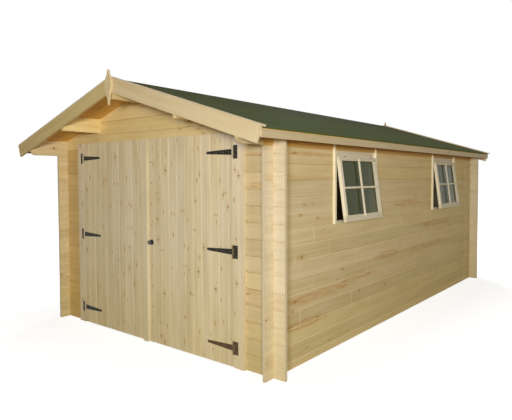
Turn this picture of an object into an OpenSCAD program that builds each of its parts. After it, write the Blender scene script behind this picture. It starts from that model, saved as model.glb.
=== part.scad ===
/* [Log walls] */
// Width over the outer faces of the side walls
outer_w = 3130; // [2900:10:4200]
// Length over the outer faces of the end walls
outer_len = 5340; // [4400:10:7000]
// Thickness of a wall log
log_t = 28; // [24:1:40]
// Height that one log adds to a wall
log_h = 142.5; // [130:0.5:155]
// Whole logs in a side wall, below its plate
side_logs = 13; // [12:1:14]
// How far the log ends stand out past a corner
log_end = 115; // [60:5:150]
// Clearance between two logs, and between a log and its notch
log_gap = 0.4; // [0.2:0.1:1]
// Width of the small bevel along the edges of a log
log_bevel = 3; // [1:0.5:5]
// Thickness of the tongue on a log's top
tongue_t = 9; // [6:0.5:12]
// Height of the tongue on a log's top
tongue_h = 6; // [3:0.5:10]

/* [Roof] */
// Slope of the roof, in degrees
roof_pitch = 17.4; // [14:0.1:24]
// Height of a wall plate at its outer face
plate_h = 164; // [145:1:175]
// Size of the bevel under the nose of a wall plate
plate_nose = 34; // [10:1:60]
// How far the roof runs past the side walls
eave_over = 235; // [150:1:350]
// How far the roof runs past the front wall
front_over = 459; // [250:1:600]
// How far the roof runs past the back wall
back_over = 102; // [80:1:400]
// Thickness of the roof boards
board_t = 16; // [12:1:22]
// Thickness of the roofing felt
felt_t = 2; // [1.5:0.5:4]
// How far the felt is folded down at the eaves
felt_drop = 14; // [8:1:24]
// Thickness of a purlin
purlin_t = 45; // [34:1:70]
// Height of a side purlin, measured at its middle
purlin_h = 147; // [100:1:180]
// Distance of the side purlins from the middle of the roof
purlin_x = 872; // [600:1:1000]
// Height of the ridge purlin, measured at its middle
ridge_h = 178; // [140:1:240]
// Height of the fascia board under the eaves
fascia_h = 60; // [40:1:90]
// Thickness of the fascia board
fascia_t = 18; // [14:1:28]
// Width of a barge board, measured across its slope
barge_w = 129; // [100:1:170]
// Thickness of a barge board
barge_t = 20; // [16:1:28]
// Thickness of the capping strip on top of the barge boards
cap_t = 15; // [12:1:24]
// Width of the capping strip
cap_w = 34; // [26:1:60]
// How far the right-hand capping strips run past the barge boards
cap_tail = 24; // [5:1:60]
// Height of a finial board
finial_h = 330; // [220:1:420]
// Width of a finial at its middle
finial_w = 92; // [60:1:110]
// Thickness of a finial board
finial_t = 30; // [18:1:40]
// Distance from each end of a finial to the start of its point
finial_point = 98; // [40:1:120]
// Width of a finial where its points start
finial_waist = 50; // [24:1:60]
// Width of a finial at its very ends
finial_tip = 8; // [4:1:20]
// How far a finial rises above the capping strips
finial_rise = 57; // [15:1:90]

/* [Double door] */
// Clear width between the faces of the two door posts
doorway_w = 2300; // [2000:10:2400]
// Whole logs beside the doorway
door_logs = 14; // [13:1:15]
// Depth of the doorway's cut into the log above
door_cut = 62; // [20:1:80]
// Width of a door post's face
post_w = 115; // [80:1:130]
// How far a door post stands out from the wall
post_proud = 28; // [20:1:40]
// How far the door stops reach into the doorway
stop_w = 25; // [15:1:40]
// How far the lining reaches behind a door post's face board
lining_lap = 23; // [12:1:50]
// Depth of the door stops behind the wall's outer face
stop_depth = 45; // [30:1:70]
// Thickness of a door leaf's boards
leaf_t = 20; // [16:1:26]
// Gap between a leaf and its post
leaf_gap = 5; // [5:0.5:8]
// Gap between a leaf's back and the door stops
back_gap = 5; // [5:0.5:8]
// Gap between the two leaves
meet_gap = 8; // [8:0.5:12]
// Gap under the leaves
floor_gap = 8; // [6:1:30]
// How far the right leaf reaches past the middle of the doorway
lead = 60; // [20:1:80]
// Width of the ledges and the brace on a leaf's back
ledge_w = 95; // [70:1:140]
// Thickness of the ledges and the brace
ledge_t = 20; // [16:1:30]
// Width of the cover strip between the leaves
strip_w = 70; // [40:1:90]
// Thickness of the cover strip
strip_t = 28; // [12:1:32]

/* [Hinges and knob] */
// Length of a hinge strap from its pin
strap_len = 318; // [200:1:400]
// Height of a strap at its pin
strap_h = 52; // [36:1:70]
// Height of a strap at its tip
strap_tip_h = 24; // [16:1:40]
// Thickness of the straps and plates
iron_t = 3; // [2:0.5:5]
// Height of a hinge plate on the post
hinge_plate_h = 116; // [80:1:160]
// Width of a hinge plate on the post
hinge_plate_w = 45; // [30:1:70]
// Radius of a hinge knuckle
knuckle_r = 7; // [6:0.5:10]
// Radius of a hinge pin
pin_r = 3; // [2:0.5:4]
// Height of the lowest hinge above the bottom of the leaf
hinge_low = 169; // [120:1:300]
// Height of the middle hinge above the bottom of the leaf
hinge_mid = 1012; // [700:1:1200]
// Distance of the top hinge below the top of the leaf
hinge_top = 167; // [120:1:300]
// Height of the knob above the bottom of the leaf
knob_z = 1010; // [700:1:1200]
// Gap between the cover strip and the rose behind the knob
knob_gap = 11; // [1:1:40]
// Radius of the rose behind the knob
rose_r = 29; // [20:1:32]
// Radius of the knob
knob_r = 20; // [15:1:24]
// Thickness of the rose
rose_t = 5; // [3:0.5:8]
// Radius of the knob's stem
stem_r = 10; // [7:0.5:12]
// Depth of the knob's head
knob_head = 22; // [18:1:28]
// Width of the bevels on the knob's head
knob_bevel = 7; // [3:0.5:8]
// How far the knob stands out from the leaf
knob_out = 42; // [38:1:80]

/* [Windows] */
// Whole logs in the side wall below the windows
sill_logs = 8; // [6:1:9]
// Width of a window frame
window_w = 900; // [700:5:1200]
// Distance of the first window frame from the front wall
window_front = 944; // [700:1:1200]
// Distance of the second window frame from the back wall
window_back = 884; // [600:1:1200]
// Width of the boards on both sides of a window frame
frame_t = 23; // [16:1:36]
// How far these boards stand out from the wall
frame_proud = 21; // [15:1:40]
// Width of a window frame's sides and head
frame_side = 70; // [60:1:90]
// Height of a window frame's sill
frame_sill = 28; // [20:1:40]
// How far a window frame stands out from the wall's inner face
frame_inset = 10; // [0:1:30]
// How far the frame's side boards rise above the window
frame_ears = 66; // [20:1:90]
// Space between a sash and the boards on both sides of it
sash_margin = 35; // [20:1:36]
// Distance of a sash's top below the frame's top
sash_drop = 57; // [45:1:60]
// Height of a closed sash's bottom above the frame's bottom
sash_rise = 16; // [5:1:19]
// Width of a sash's side members
stile_w = 41; // [35:1:70]
// Width of a sash's top member
top_rail_w = 40; // [35:1:70]
// Width of a sash's bottom member
rail_w = 61; // [45:1:90]
// Thickness of a sash
sash_t = 34; // [28:1:45]
// Angle at which the top-hung sashes stand open, in degrees
sash_tilt = 7.8; // [4:0.1:20]
// Thickness of the glass
glass_t = 4; // [3:0.5:6]
// Depth of the glass behind a sash's face
glass_depth = 27; // [8:1:28]

/* [Hidden] */

$fn = 48;

pine = "burlywood";
iron = "dimgray";
felt = "darkolivegreen";

// Clearance between two pieces that are nailed or rest on each other
seat = 0.3;
// Clearance between a hinge pin and its knuckle
pin_fit = 0.05;
// Length by which a cutting shape runs past what it cuts
over = 5;

half_w = outer_w / 2;
notch_h = log_h / 4;
front_y = (front_over - back_over - outer_len) / 2;
back_y = front_y + outer_len;

// Heights of the side wall's plate and of the roof boards' underside
plate_z = log_h / 2 + side_logs * log_h;
eave_z = plate_z + plate_h;
slope = tan(roof_pitch);
ridge_z = eave_z + half_w * slope;
function under_z(x) = ridge_z - abs(x) * slope;
// Height above the underside that a thickness takes up, measured upright
function upright(thickness) = thickness / cos(roof_pitch);

// The roof's length between the barge boards
roof_front = front_y - front_over + barge_t;
roof_back = back_y + back_over - barge_t;
roof_w = half_w + eave_over;
cap_base = upright(board_t + felt_t + 2 * seat);

// Doorway
door_top = door_logs * log_h + door_cut;
log_stop = doorway_w / 2 + lining_lap;
stop_x = doorway_w / 2 - stop_w;
door_face = front_y - post_proud;
leaf_bottom = floor_gap;
leaf_top = door_top - leaf_gap;
leaf_outer = doorway_w / 2 - leaf_gap;
right_inner = -lead;
left_inner = -lead - meet_gap;
pin_x = doorway_w / 2 - leaf_gap / 2;
pin_y = door_face - knuckle_r - seat;
// Places on a hinge, measured from its pin: the rear face of the iron, and the plate's edge
iron_back = knuckle_r;
plate_x = knuckle_r + seat;
hinge_heights = [leaf_bottom + hinge_low, leaf_bottom + hinge_mid, leaf_top - hinge_top];
knob_x = right_inner + strip_w + knob_gap + rose_r;

// Windows
window_low = log_h / 2 + sill_logs * log_h;
window_h = plate_z - window_low;
window_ys = [front_y + window_front, back_y - window_back - window_w];
sash_w = window_w - 2 * (frame_t + sash_margin);
sash_h = window_h - sash_drop - sash_rise;

// One log's cross-section: y runs through the wall from its outer face, z goes up
module log_section(height, groove) {
    top = height - log_gap;
    mid = log_t / 2;
    slot_half = tongue_t / 2 + log_gap;
    slot_h = tongue_h + log_gap;
    slot = groove ? [[mid - slot_half, 0], [mid - slot_half, slot_h],
                     [mid + slot_half, slot_h], [mid + slot_half, 0]] : [];
    tip = [[mid + tongue_t / 2, top], [mid + tongue_t / 2, top + tongue_h],
           [mid - tongue_t / 2, top + tongue_h], [mid - tongue_t / 2, top]];
    polygon(concat(
        [[0, log_bevel], [log_bevel, 0]], slot,
        [[log_t - log_bevel, 0], [log_t, log_bevel], [log_t, top - log_bevel], [log_t - log_bevel, top]],
        tip, [[log_bevel, top], [0, top - log_bevel]]));
}

// Turns a section drawn in y and z into a bar along x
module bar(x0, x1) {
    translate([x0, 0, 0])
        rotate([90, 0, 90])
            linear_extrude(height = x1 - x0) children();
}

// A log from x0 to x1 with its underside at z, notched where other logs cross it
module wall_log(x0, x1, z, height, crossings, groove = true, notch_below = true) {
    difference() {
        translate([0, 0, z]) bar(x0, x1) log_section(height, groove);
        for (x = crossings) {
            translate([x - log_gap, -over, z + height - notch_h - log_gap / 2])
                cube([log_t + 2 * log_gap, log_t + 2 * over, notch_h + over + tongue_h]);
            if (notch_below)
                translate([x - log_gap, -over, z - over])
                    cube([log_t + 2 * log_gap, log_t + 2 * over, notch_h + over + log_gap / 2]);
        }
    }
}

// A stack of whole logs from x0 to x1, the first one with its underside at z
module log_stack(x0, x1, z, count, crossings, on_ground = false) {
    for (i = [0 : count - 1])
        wall_log(x0, x1, z + i * log_h, log_h, crossings, groove = !(on_ground && i == 0));
}

// Frames in which a wall's outer face is y = 0 and its logs lie along x
module in_front() { translate([0, front_y, 0]) children(); }
module in_back() { translate([0, back_y, 0]) rotate([0, 0, 180]) children(); }
module in_right() { translate([half_w, 0, 0]) rotate([0, 0, 90]) children(); }
module in_left() { translate([-half_w, 0, 0]) rotate([0, 0, -90]) children(); }

end_crossings = [-half_w, half_w - log_t];
right_crossings = [front_y, back_y - log_t];
left_crossings = [-back_y, -front_y - log_t];

module front_wall_left() {
    color(pine) in_front()
        log_stack(-half_w - log_end, -log_stop - seat, 0, door_logs, [-half_w], on_ground = true);
}

module front_wall_right() {
    color(pine) in_front()
        log_stack(log_stop + seat, half_w + log_end, 0, door_logs, [half_w - log_t], on_ground = true);
}

// The space under the roof boards, less a clearance, from y0 to y1
module under_roof(y0, y1, low) {
    reach = roof_w + over;
    top = ridge_z - seat / cos(roof_pitch);
    translate([0, y1, 0]) rotate([90, 0, 0])
        linear_extrude(height = y1 - y0)
            polygon([[-reach, low], [reach, low], [reach, top - reach * slope],
                     [0, top], [-reach, top - reach * slope]]);
}

// The purlins' own space in an end wall
module purlin_slots() {
    for (side = [-1, 1])
        translate([side * purlin_x - purlin_t / 2 - seat, -over, under_z(purlin_x) - purlin_h - seat])
            cube([purlin_t + 2 * seat, log_t + 2 * over, purlin_h + log_h]);
    translate([-purlin_t / 2 - seat, -over, ridge_z - ridge_h - seat])
        cube([purlin_t + 2 * seat, log_t + 2 * over, ridge_h + over]);
}

// The logs of an end wall above the door's height, cut to the slope of the roof; the last one fills the peak
module gable_logs() {
    first_z = door_logs * log_h;
    count = round((ridge_z - first_z) / log_h);
    last_z = first_z + (count - 1) * log_h;
    reach = half_w + log_end;
    difference() {
        intersection() {
            union() {
                wall_log(-reach, reach, first_z, log_h, end_crossings);
                for (i = [1 : count - 2])
                    wall_log(-reach, reach, first_z + i * log_h, log_h, []);
                wall_log(-reach, reach, last_z, 2 * log_h, []);
            }
            under_roof(-over, log_t + over, first_z - over);
        }
        purlin_slots();
    }
}

module front_gable() {
    color(pine) in_front() difference() {
        gable_logs();
        translate([-log_stop - seat, -over, door_logs * log_h - over])
            cube([2 * (log_stop + seat), log_t + 2 * over, door_cut + over]);
    }
}

module back_wall() {
    color(pine) in_back()
        log_stack(-half_w - log_end, half_w + log_end, 0, door_logs, end_crossings, on_ground = true);
}

module back_gable() {
    color(pine) in_back() gable_logs();
}

// The half log that a side wall starts with
module half_log(x0, x1, crossings) {
    wall_log(x0, x1, 0, log_h / 2, crossings, groove = false, notch_below = false);
}

module left_wall() {
    x0 = -back_y - log_end;
    x1 = -front_y + log_end;
    color(pine) in_left() {
        half_log(x0, x1, left_crossings);
        log_stack(x0, x1, log_h / 2, side_logs, left_crossings);
    }
}

module right_wall_lower() {
    x0 = front_y - log_end;
    x1 = back_y + log_end;
    color(pine) in_right() {
        half_log(x0, x1, right_crossings);
        log_stack(x0, x1, log_h / 2, sill_logs - 1, right_crossings);
        difference() {
            wall_log(x0, x1, window_low - log_h, log_h, right_crossings);
            for (y = window_ys)
                translate([y - seat, -over, window_low - log_gap])
                    cube([window_w + 2 * seat, log_t + 2 * over, tongue_h + over]);
        }
    }
}

// The logs between two windows, or between a window and a corner
module pier(x0, x1, crossings) {
    color(pine) in_right()
        log_stack(x0, x1, window_low, side_logs - sill_logs, crossings);
}

module right_wall_front_pier() {
    pier(front_y - log_end, window_ys[0] + frame_t / 2, [right_crossings[0]]);
}

module right_wall_middle_pier() {
    pier(window_ys[0] + window_w - frame_t / 2, window_ys[1] + frame_t / 2, []);
}

module right_wall_rear_pier() {
    pier(window_ys[1] + window_w - frame_t / 2, back_y + log_end, [right_crossings[1]]);
}

// The top log of a side wall: its top follows the roof, and its front end runs out to the barge board
module wall_plate() {
    y0 = roof_front + seat;
    y1 = roof_back - seat;
    inner = half_w - log_t;
    mid = half_w - log_t / 2;
    slot_half = tongue_t / 2 + log_gap;
    slot_z = plate_z + tongue_h + log_gap;
    lift = seat / cos(roof_pitch);
    color(pine) difference() {
        translate([0, y1, 0]) rotate([90, 0, 0]) linear_extrude(height = y1 - y0)
            polygon([[inner, plate_z + log_bevel], [inner + log_bevel, plate_z],
                     [mid - slot_half, plate_z], [mid - slot_half, slot_z],
                     [mid + slot_half, slot_z], [mid + slot_half, plate_z],
                     [half_w - log_bevel, plate_z], [half_w, plate_z + log_bevel],
                     [half_w, under_z(half_w) - lift], [inner, under_z(inner) - lift]]);
        for (y = right_crossings) {
            translate([inner - over, y - log_gap, plate_z - over])
                cube([log_t + 2 * over, log_t + 2 * log_gap, notch_h + over + log_gap / 2]);
            translate([inner - over, y - log_gap, plate_z + log_h - notch_h - log_gap / 2])
                cube([log_t + 2 * over, log_t + 2 * log_gap, plate_h]);
        }
        translate([inner - over, y0, plate_z]) rotate([90, 0, 90])
            linear_extrude(height = log_t + 2 * over)
                polygon([[-over, -over], [plate_nose + over, -over], [-over, plate_nose + over]]);
    }
}

module right_wall_plate() { wall_plate(); }
module left_wall_plate() { mirror([1, 0, 0]) wall_plate(); }

// A purlin from barge board to barge board, its top cut to the roof at each x of its section
module purlin(xs, height, middle) {
    y0 = roof_front + seat;
    y1 = roof_back - seat;
    bottom = under_z(middle) - height;
    lift = seat / cos(roof_pitch);
    color(pine) translate([0, y1, 0]) rotate([90, 0, 0]) linear_extrude(height = y1 - y0)
        polygon(concat([[xs[0], bottom], [xs[len(xs) - 1], bottom]],
                       [for (i = [len(xs) - 1 : -1 : 0]) [xs[i], under_z(xs[i]) - lift]]));
}

module ridge_purlin() { purlin([-purlin_t / 2, 0, purlin_t / 2], ridge_h, 0); }
module right_purlin() { purlin([purlin_x - purlin_t / 2, purlin_x + purlin_t / 2], purlin_h, purlin_x); }
module left_purlin() { mirror([1, 0, 0]) right_purlin(); }

// A slab that follows the right-hand slope, from low to high above the boards' underside
module slope_slab(low, high, y0, y1, x1) {
    z0 = ridge_z + upright(low);
    z1 = ridge_z + upright(high);
    translate([0, y1, 0]) rotate([90, 0, 0]) linear_extrude(height = y1 - y0)
        polygon([[seat / 2, z0 - seat / 2 * slope], [x1, z0 - x1 * slope],
                 [x1, z1 - x1 * slope], [seat / 2, z1 - seat / 2 * slope]]);
}

module roof_boards_right() {
    color("peru") slope_slab(0, board_t, roof_front + seat, roof_back - seat, roof_w);
}
module roof_boards_left() { mirror([1, 0, 0]) roof_boards_right(); }

module roof_felt_right() {
    low = board_t + seat;
    edge = roof_w + seat;
    top = ridge_z + upright(low + felt_t) - edge * slope;
    y0 = roof_front + seat;
    y1 = roof_back - seat;
    color(felt) union() {
        slope_slab(low, low + felt_t, y0, y1, edge);
        translate([edge, y0, top - felt_t * slope - felt_drop])
            cube([felt_t, y1 - y0, felt_drop]);
        translate([0, y1, 0]) rotate([90, 0, 0]) linear_extrude(height = y1 - y0)
            polygon([[edge, top - felt_drop], [edge + felt_t, top - felt_drop],
                     [edge + felt_t, top - felt_t * slope], [edge, top]]);
    }
}
module roof_felt_left() { mirror([1, 0, 0]) roof_felt_right(); }

module fascia_right() {
    y0 = roof_front + seat;
    top = under_z(roof_w) - seat / cos(roof_pitch);
    color(pine) translate([0, roof_back - seat, 0]) rotate([90, 0, 0])
        linear_extrude(height = roof_back - seat - y0)
            polygon([[roof_w - fascia_t, top - fascia_h], [roof_w, top - fascia_h],
                     [roof_w, top], [roof_w - fascia_t, top + fascia_t * slope]]);
}
module fascia_left() { mirror([1, 0, 0]) fascia_right(); }

// A barge board on the right-hand slope, upright at the ridge and square at its foot
module barge(y0) {
    top = ridge_z + cap_base - seat / cos(roof_pitch);
    foot = [roof_w - barge_w * sin(roof_pitch), top - roof_w * slope - barge_w * cos(roof_pitch)];
    color(pine) translate([0, y0 + barge_t, 0]) rotate([90, 0, 0])
        linear_extrude(height = barge_t)
            polygon([[seat / 2, top - seat / 2 * slope], [roof_w, top - roof_w * slope],
                     foot, [seat / 2, top - seat / 2 * slope - upright(barge_w)]]);
}
module front_barge_right() { barge(roof_front - barge_t); }
module front_barge_left() { mirror([1, 0, 0]) barge(roof_front - barge_t); }
module back_barge_right() { barge(roof_back); }
module back_barge_left() { mirror([1, 0, 0]) barge(roof_back); }

// A capping strip on a right-hand barge board, tail long past the board's foot
module cap(y0, tail) {
    base = ridge_z + cap_base;
    x1 = roof_w + tail * cos(roof_pitch);
    foot = [x1, base - x1 * slope];
    head = foot + cap_t * [sin(roof_pitch), cos(roof_pitch)];
    translate([0, y0 + cap_w, 0]) rotate([90, 0, 0]) linear_extrude(height = cap_w)
        polygon([[seat / 2, base - seat / 2 * slope], foot, head,
                 [seat / 2, base + upright(cap_t) - seat / 2 * slope]]);
}

module barge_caps() {
    front = roof_front - barge_t;
    back = roof_back + barge_t - cap_w;
    color(pine) {
        for (y = [front, back]) {
            cap(y, cap_tail);
            mirror([1, 0, 0]) cap(y, 0);
        }
    }
}

// A finial: an upright board, widest at its middle and pointed at each end
module finial(y0) {
    top = ridge_z + cap_base + upright(cap_t) + finial_rise;
    right_side = [[finial_tip / 2, 0], [finial_waist / 2, finial_point], [finial_w / 2, finial_h / 2],
                  [finial_waist / 2, finial_h - finial_point], [finial_tip / 2, finial_h]];
    left_side = [for (i = [len(right_side) - 1 : -1 : 0]) [-right_side[i].x, right_side[i].y]];
    translate([0, y0 + finial_t, top - finial_h]) rotate([90, 0, 0]) linear_extrude(height = finial_t)
        polygon(concat(right_side, left_side));
}

module finials() {
    color(pine) {
        finial(roof_front - barge_t - seat - finial_t);
        finial(roof_back + barge_t + seat);
    }
}

// The right-hand door post: a face board on the wall and a stop inside the doorway
module door_post_right() {
    color(pine) linear_extrude(height = door_top - seat) union() {
        translate([doorway_w / 2, front_y - post_proud])
            square([post_w, post_proud - seat]);
        translate([stop_x, door_face + leaf_t + back_gap])
            square([doorway_w / 2 - stop_x + over, post_proud - leaf_t - back_gap]);
        translate([stop_x, front_y - seat])
            square([log_stop - stop_x, stop_depth + seat]);
    }
}
module door_post_left() { mirror([1, 0, 0]) door_post_right(); }

// The stop across the top of the doorway, between the two posts
module door_head() {
    low = door_top - stop_w - leaf_gap;
    color(pine)
        translate([-stop_x + seat, door_face + leaf_t + back_gap, low])
            cube([2 * (stop_x - seat), front_y + stop_depth - door_face - leaf_t - back_gap,
                  door_top - seat - low]);
}

module leaf(x0, x1) {
    color("wheat") translate([x0, door_face, leaf_bottom])
        cube([x1 - x0, leaf_t, leaf_top - leaf_bottom]);
}
module left_door_leaf() { leaf(-leaf_outer, left_inner); }
module right_door_leaf() { leaf(right_inner, leaf_outer); }

// Three ledges across a leaf's back, with a brace between each pair that rises from the hinges
module ledges(x0, x1, hinge_on_right) {
    inset = stop_w + back_gap + leaf_gap;
    y0 = door_face + leaf_t + seat;
    z_low = leaf_bottom + hinge_low - ledge_w / 2;
    z_mid = leaf_bottom + hinge_mid - ledge_w / 2;
    z_top = leaf_top - hinge_top - ledge_w / 2;
    low_x = hinge_on_right ? x1 - inset - ledge_w : x0 + inset;
    high_x = hinge_on_right ? x0 + inset : x1 - inset - ledge_w;
    color("wheat") translate([0, y0 + ledge_t, 0]) rotate([90, 0, 0])
        linear_extrude(height = ledge_t) union() {
            for (z = [z_low, z_mid, z_top])
                translate([x0 + inset, z]) square([x1 - x0 - 2 * inset, ledge_w]);
            for (z = [[z_low, z_mid], [z_mid, z_top]])
                polygon([[low_x, z[0] + ledge_w / 2], [low_x + ledge_w, z[0] + ledge_w / 2],
                         [high_x + ledge_w, z[1] + ledge_w / 2], [high_x, z[1] + ledge_w / 2]]);
        }
}
module left_door_ledges() { ledges(-leaf_outer, left_inner, false); }
module right_door_ledges() { ledges(right_inner, leaf_outer, true); }

module door_cover_strip() {
    color("wheat") translate([right_inner, door_face - seat - strip_t, leaf_bottom])
        cube([strip_w, strip_t, leaf_top - leaf_bottom]);
}

module door_knob() {
    neck = knob_out - knob_head;
    color(iron) translate([knob_x, door_face - seat, leaf_bottom + knob_z]) rotate([90, 0, 0])
        rotate_extrude()
            polygon([[0, 0], [rose_r, 0], [rose_r, rose_t], [stem_r, rose_t], [stem_r, neck],
                     [knob_r, neck + knob_bevel], [knob_r, knob_out - knob_bevel],
                     [knob_r - knob_bevel, knob_out], [0, knob_out]]);
}

// Places what is drawn round the right-hand pin on one side of the doorway, -1 or 1, at each hinge's height
module at_hinges(side) {
    for (z = hinge_heights)
        translate([side * pin_x, pin_y, z]) rotate([0, side > 0 ? 0 : 180, 0]) children();
}

// The part of a hinge on the post: plate, two outer knuckles and the pin
module hinge_plate() {
    knuckle_h = (hinge_plate_h - strap_h) / 2 - seat;
    translate([plate_x, iron_back - iron_t, -hinge_plate_h / 2])
        cube([hinge_plate_w, iron_t, hinge_plate_h]);
    translate([0, 0, -hinge_plate_h / 2]) cylinder(r = pin_r, h = hinge_plate_h);
    for (z0 = [-hinge_plate_h / 2, strap_h / 2 + seat]) {
        translate([0, 0, z0]) cylinder(r = knuckle_r, h = knuckle_h);
        translate([0, iron_back - iron_t, z0]) cube([plate_x + iron_t, iron_t, knuckle_h]);
    }
}

module right_hinge_plates() { color(iron) at_hinges(1) hinge_plate(); }
module left_hinge_plates() { color(iron) at_hinges(-1) hinge_plate(); }

// The part of a hinge on the leaf: a tapered strap with its knuckle
module hinge_strap() {
    tip_r = strap_tip_h / 2;
    difference() {
        union() {
            translate([0, 0, -strap_h / 2]) cylinder(r = knuckle_r, h = strap_h);
            translate([0, iron_back, 0]) rotate([90, 0, 0])
                linear_extrude(height = iron_t) union() {
                    polygon([[0, -strap_h / 2], [0, strap_h / 2],
                             [-strap_len + tip_r, tip_r], [-strap_len + tip_r, -tip_r]]);
                    translate([-strap_len + tip_r, 0]) circle(r = tip_r);
                }
        }
        translate([0, 0, -strap_h]) cylinder(r = pin_r + pin_fit, h = 2 * strap_h);
    }
}

module right_hinge_straps() { color(iron) at_hinges(1) hinge_strap(); }
module left_hinge_straps() { color(iron) at_hinges(-1) hinge_strap(); }

// A window frame in the right-hand wall, its lower front corner at y
module window_frame(y) {
    inner = half_w - log_t - frame_inset;
    depth = half_w - inner;
    margin = frame_t / 2 + seat;
    color("cornsilk") {
        difference() {
            translate([inner, y + margin, window_low])
                cube([depth, window_w - 2 * margin, window_h - seat]);
            translate([inner - over, y + frame_side, window_low + frame_sill])
                cube([depth + 2 * over, window_w - 2 * frame_side, window_h - frame_sill - frame_side]);
        }
        for (y0 = [y, y + window_w - frame_t])
            translate([half_w + seat, y0, window_low])
                cube([frame_proud - seat, frame_t, window_h + frame_ears]);
    }
}
module front_window_frame() { window_frame(window_ys[0]); }
module rear_window_frame() { window_frame(window_ys[1]); }

// Puts a sash that is drawn upright, from its top outer edge, into its open position on the frame's face
module in_sash(y) {
    top = window_low + window_h - sash_drop;
    translate([half_w + seat + sash_t * cos(sash_tilt), y + frame_t + sash_margin, top])
        rotate([0, -sash_tilt, 0]) children();
}

module window_sash(y) {
    color("cornsilk") in_sash(y) difference() {
        translate([-sash_t, 0, -sash_h]) cube([sash_t, sash_w, sash_h]);
        translate([-sash_t - over, stile_w, rail_w - sash_h])
            cube([sash_t + 2 * over, sash_w - 2 * stile_w, sash_h - top_rail_w - rail_w]);
    }
}
module front_window_sash() { window_sash(window_ys[0]); }
module rear_window_sash() { window_sash(window_ys[1]); }

module window_glass() {
    color("lightblue", 0.5) for (y = window_ys) in_sash(y)
        translate([-glass_depth - glass_t, stile_w + seat, rail_w + seat - sash_h])
            cube([glass_t, sash_w - 2 * (stile_w + seat), sash_h - top_rail_w - rail_w - 2 * seat]);
}

front_wall_left();
front_wall_right();
front_gable();
back_wall();
back_gable();
left_wall();
right_wall_lower();
right_wall_front_pier();
right_wall_middle_pier();
right_wall_rear_pier();
left_wall_plate();
right_wall_plate();
ridge_purlin();
left_purlin();
right_purlin();
roof_boards_left();
roof_boards_right();
roof_felt_left();
roof_felt_right();
fascia_left();
fascia_right();
front_barge_left();
front_barge_right();
back_barge_left();
back_barge_right();
barge_caps();
finials();
door_post_left();
door_post_right();
door_head();
left_door_leaf();
left_door_ledges();
right_door_leaf();
right_door_ledges();
door_cover_strip();
door_knob();
left_hinge_plates();
right_hinge_plates();
left_hinge_straps();
right_hinge_straps();
front_window_frame();
rear_window_frame();
front_window_sash();
rear_window_sash();
window_glass();
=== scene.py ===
# A log-built wooden garage: finishes, small pieces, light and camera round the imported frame.
import math

import bmesh
import bpy
from mathutils import Matrix, Vector


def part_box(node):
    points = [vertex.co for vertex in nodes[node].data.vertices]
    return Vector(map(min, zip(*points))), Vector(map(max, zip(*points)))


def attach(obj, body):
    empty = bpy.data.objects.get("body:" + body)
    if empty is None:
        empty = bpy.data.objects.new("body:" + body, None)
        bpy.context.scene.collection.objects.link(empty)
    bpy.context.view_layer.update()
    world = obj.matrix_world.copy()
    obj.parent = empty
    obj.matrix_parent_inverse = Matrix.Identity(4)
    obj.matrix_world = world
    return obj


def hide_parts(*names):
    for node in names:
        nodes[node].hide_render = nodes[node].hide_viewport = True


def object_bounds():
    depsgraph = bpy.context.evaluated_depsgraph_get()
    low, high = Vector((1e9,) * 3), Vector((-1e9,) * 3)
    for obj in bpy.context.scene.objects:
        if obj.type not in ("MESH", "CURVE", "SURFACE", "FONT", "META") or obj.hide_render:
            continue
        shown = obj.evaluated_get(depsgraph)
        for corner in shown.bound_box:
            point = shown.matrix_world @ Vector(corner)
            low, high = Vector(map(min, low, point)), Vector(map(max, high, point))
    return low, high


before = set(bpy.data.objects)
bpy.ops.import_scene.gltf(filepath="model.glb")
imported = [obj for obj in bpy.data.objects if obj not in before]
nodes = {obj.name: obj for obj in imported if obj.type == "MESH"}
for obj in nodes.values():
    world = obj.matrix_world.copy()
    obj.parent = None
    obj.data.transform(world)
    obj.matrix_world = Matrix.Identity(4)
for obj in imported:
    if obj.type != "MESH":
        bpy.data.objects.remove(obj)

cad_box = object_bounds()
MM = 0.001
X, Y, Z = 0, 1, 2                                 # axes along and across the grain
FORWARD, RIGHT = (0, -1, 0), (1, 0, 0)            # out of the doors' wall and of the windows' wall

# Sizes that the CAD model was built with
LOG = 142.5 * MM                                  # height of one log course
HALF_LOG = LOG / 2
PITCH = math.radians(17.4)                        # roof slope
ROOF_BOARD_T = 16 * MM
FINIAL_T = 30 * MM
SEAT = 0.3 * MM                                   # gap between a piece and what carries it
KNUCKLE_R = 7 * MM
PLATE_TO_PIN = 45 * MM + SEAT + KNUCKLE_R         # from the outer edge of a hinge's plate
HALF_PLATE, HALF_STRAP = 58 * MM, 26 * MM         # half heights of a hinge's plate and strap
IRON_OUT = 3 * MM + SEAT                          # from a leaf's face to the face of the iron on it
MIDDLE_HINGE = 1012 * MM                          # above the leaf's foot
FRAME_SIDE = 70 * MM                              # window frame's upright boards
SASH_TILT = math.radians(7.8)                     # how far the sashes stand open
SASH_T = 34 * MM
STILE, TOP_RAIL, BOTTOM_RAIL = 41 * MM, 40 * MM, 61 * MM

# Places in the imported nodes
FRONT_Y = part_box("front_wall_right")[0].y         # front wall's outer face
HALF_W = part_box("right_wall_plate")[1].x          # side wall's outer face
DOOR_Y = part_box("right_door_leaf")[0].y           # leaves' outer face

# Light, dark and heart tones of each wood
PINE = (0.680, 0.560, 0.340), (0.560, 0.425, 0.210), (0.480, 0.270, 0.080)
TRIM = (0.700, 0.580, 0.380), (0.580, 0.450, 0.250), (0.480, 0.290, 0.110)
DOOR = (0.750, 0.655, 0.475), (0.570, 0.465, 0.275), (0.500, 0.340, 0.150)
# The roof boards' browner, more orange tones are painted shade of the eaves' underside
SHADED_SOFFIT = (0.720, 0.430, 0.115), (0.620, 0.330, 0.075), (0.500, 0.240, 0.050)
WINDOW = (0.830, 0.760, 0.590), (0.740, 0.660, 0.480), (0.660, 0.520, 0.310)

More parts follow.
